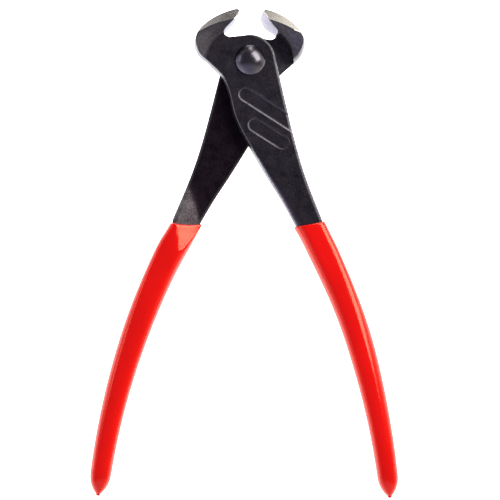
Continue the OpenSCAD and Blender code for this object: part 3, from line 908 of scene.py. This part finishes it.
vinyl = {
    "deep": (0.62, 0.0012, 0.0016), "fresh": (0.72, 0.0022, 0.0022), "cloudScale": 45.0,
    "gloss": 0.68, "sheen": (1.0, 0.58, 0.38), "roughness": (0.11, 0.16), "smudgeScale": 130.0,
    "grain": 420.0, "pits": 0.0, "relief": 0.000012, "strength": 0.25,
}


def makeVinyl(name, look):
    material, tree, shader, place, grain = partMaterial(name, look)
    cloud = useGroup(tree, smudgeGroup, {"Place": place}, Scale=look["cloudScale"], Low=0.0, High=1.0)
    tree.links.new(blend(tree, cloud.outputs[0], look["deep"], look["fresh"]), shader.inputs["Base Color"])
    bump(tree, shader, grain.outputs["Height"], look)
    setGloss(shader, look)
    return material


steels = [
    makeBlackSteel("blackenedSteel", blackSteel),
    makeGroundSteel("groundSteel", groundSteel),
    makeBlackSteel("lapSteel", lapSteel),
    makeGroundSteel("shadedCrownSteel", shadedCrownSteel),
]
for piece in leverPieces.values():
    for material in steels:
        piece.data.materials.append(material)
rivetPiece.data.materials.append(makeRivetSteel("rivetSteel", rivetSteel))
vinylRed = makeVinyl("dippedVinyl", vinyl)
for piece in gripPieces.values():
    piece.data.materials.append(vinylRed)
print("materials made")


camera = {
    "place": (-51.944, -118.998, 857.908), "aim": (1.073, -74.24, 6.5), "roll": 0.637,
    "lens": 156.493, "sensor": 36.0, "clip": (0.01, 50),
}


def makeCamera():
    data = bpy.data.cameras.new("photoCamera")
    data.lens, data.sensor_width = camera["lens"], camera["sensor"]
    data.clip_start, data.clip_end = camera["clip"]
    view = bpy.data.objects.new("photoCamera", data)
    back = (Vector(camera["place"]) - Vector(camera["aim"])).normalized()
    roll = math.radians(camera["roll"])
    right = Vector((-math.sin(roll), math.cos(roll), 0)).cross(back).normalized()
    up = back.cross(right)
    pose = Matrix((right, up, back)).transposed().to_4x4()
    pose.translation = Vector(camera["place"]) * mm
    view.matrix_world = pose
    scene.collection.objects.link(view)
    scene.camera = view


makeCamera()


# floor, on which the jaws and the ends of the grips rest
floor = {
    "half": 4.0, "clear": 0.0001, "mostSlope": 0.09, "slopeSteps": 361,
    "colour": (0.35, 0.35, 0.35), "roughness": 0.7, "glow": 2.6,
}


def allPoints(pieces):
    got = []
    for piece in pieces:
        co = np.empty(len(piece.data.vertices) * 3)
        piece.data.vertices.foreach_get("co", co)
        got.append(co.reshape(-1, 3))
    return np.concatenate(got)


# the floor is the plane z = c - m*y that touches both the jaws and the grips from below
def makeFloor():
    jaws, grips = allPoints(leverPieces.values()), allPoints(gripPieces.values())
    slopes = np.linspace(0, floor["mostSlope"], floor["slopeSteps"])
    lowJaw = np.min(jaws[:, 2, None] + jaws[:, 1, None] * slopes[None], axis=0)
    lowGrip = np.min(grips[:, 2, None] + grips[:, 1, None] * slopes[None], axis=0)
    best = np.argmin(np.abs(lowJaw - lowGrip))
    m, c = slopes[best], min(lowJaw[best], lowGrip[best]) - floor["clear"]
    h = floor["half"]
    mesh = bpy.data.meshes.new("studioFloor")
    corners = [(x, y, c - m * y) for x, y in ((-h, -h), (h, -h), (h, h), (-h, h))]
    mesh.from_pydata(corners, [], [(0, 1, 2, 3)])
    plane = bpy.data.objects.new("studioFloor", mesh)
    material, _, shader = newMaterial("paleFloor")
    shader.inputs["Base Color"].default_value = (*floor["colour"], 1)
    shader.inputs["Roughness"].default_value = floor["roughness"]
    shader.inputs["Emission Color"].default_value = (1, 1, 1, 1)
    shader.inputs["Emission Strength"].default_value = floor["glow"]
    mesh.materials.append(material)
    scene.collection.objects.link(plane)
    print("floor slope", round(float(m), 4))


makeFloor()


studio = {
    "ceiling": (0.95, 0.24), "near": 0.2, "far": -0.03, "right": 1.55, "left": 0.97,
    "rightInFront": 0.2,            # share of the right wall's light on the handles' side
    "warmBehind": 0.7,
    # where each light begins and ends, as a part of the direction it comes from
    "wallTop": (0.15, 0.60), "ceilingEdge": (-0.60, -0.26), "nearEdge": (-0.6, 0.5),
    "rightEdge": (0.22, 0.44), "behindEdge": (-0.35, 0.25), "leftEdge": (-0.42, -0.24),
    "warmEdge": (0.6, 0.9),
    "cool": (0.88, 0.86, 1.12), "warm": (1.0, 0.96, 0.90),
    "boxes": [    # name, direction from the rivet, distance, width, height, radiance, colour
        ("keyBox", (0.57, 0.42, 0.71), 0.75, 0.72, 0.40, 8.6, (1.0, 0.97, 0.94)),
        ("topStrip", (0.05, 0.95, 0.28), 0.75, 0.15, 0.32, 6.5, (1.0, 0.98, 0.98)),
        ("leftStrip", (-0.89, 0.20, 0.41), 0.70, 0.36, 0.15, 2.0, (0.95, 0.96, 1.0)),
    ],
}


# the world: a ceiling that is brighter on the handles' side, and low walls, the right one brightest behind
def makeWorld():
    world = bpy.data.worlds.new("studioWorld")
    scene.world = world
    world.use_nodes = True
    tree = world.node_tree
    ground = tree.nodes["Background"]
    way = tree.nodes.new("ShaderNodeTexCoord").outputs["Generated"]
    part = addNode(tree, "ShaderNodeSeparateXYZ", {"Vector": way})
    x, y, z = part.outputs["X"], part.outputs["Y"], part.outputs["Z"]
    inFront = studio["rightInFront"] * studio["right"]
    low = ranged(tree, z, *studio["wallTop"], 1.0, 0.0)
    ceiling = ranged(tree, y, *studio["ceilingEdge"], *studio["ceiling"])
    near = ranged(tree, y, *studio["nearEdge"], studio["near"], studio["far"])
    right = ranged(tree, x, *studio["rightEdge"], 0.0, 1.0)
    behind = ranged(tree, y, *studio["behindEdge"], inFront, studio["right"])
    left = ranged(tree, x, *studio["leftEdge"], studio["left"], 0.0)
    walls = maths(tree, "ADD", maths(tree, "ADD", near, left), maths(tree, "MULTIPLY", right, behind))
    shade = maths(tree, "ADD", maths(tree, "MULTIPLY", walls, low), ceiling)
    tree.links.new(shade, ground.inputs["Strength"])
    warmBehind = ranged(tree, y, *studio["warmEdge"], 0.0, studio["warmBehind"])
    warmth = maths(tree, "ADD", right, warmBehind, clamp=True)
    tree.links.new(blend(tree, warmth, studio["cool"], studio["warm"]), ground.inputs["Color"])


# soft boxes that face the rivet
def makeBoxes():
    for name, way, far, wide, high, radiance, colour in studio["boxes"]:
        data = bpy.data.lights.new(name, "AREA")
        data.shape, data.size, data.size_y = "RECTANGLE", wide, high
        data.energy, data.color = radiance * math.pi * wide * high, colour
        box = bpy.data.objects.new(name, data)
        toward = Vector(way).normalized()
        pose = toward.to_track_quat("Z", "Y").to_matrix().to_4x4()
        pose.translation = toward * far
        box.matrix_world = pose
        box.visible_camera = False
        scene.collection.objects.link(box)


makeWorld()
makeBoxes()
scene.view_settings.view_transform = "Standard"
print("camera, floor and light set")
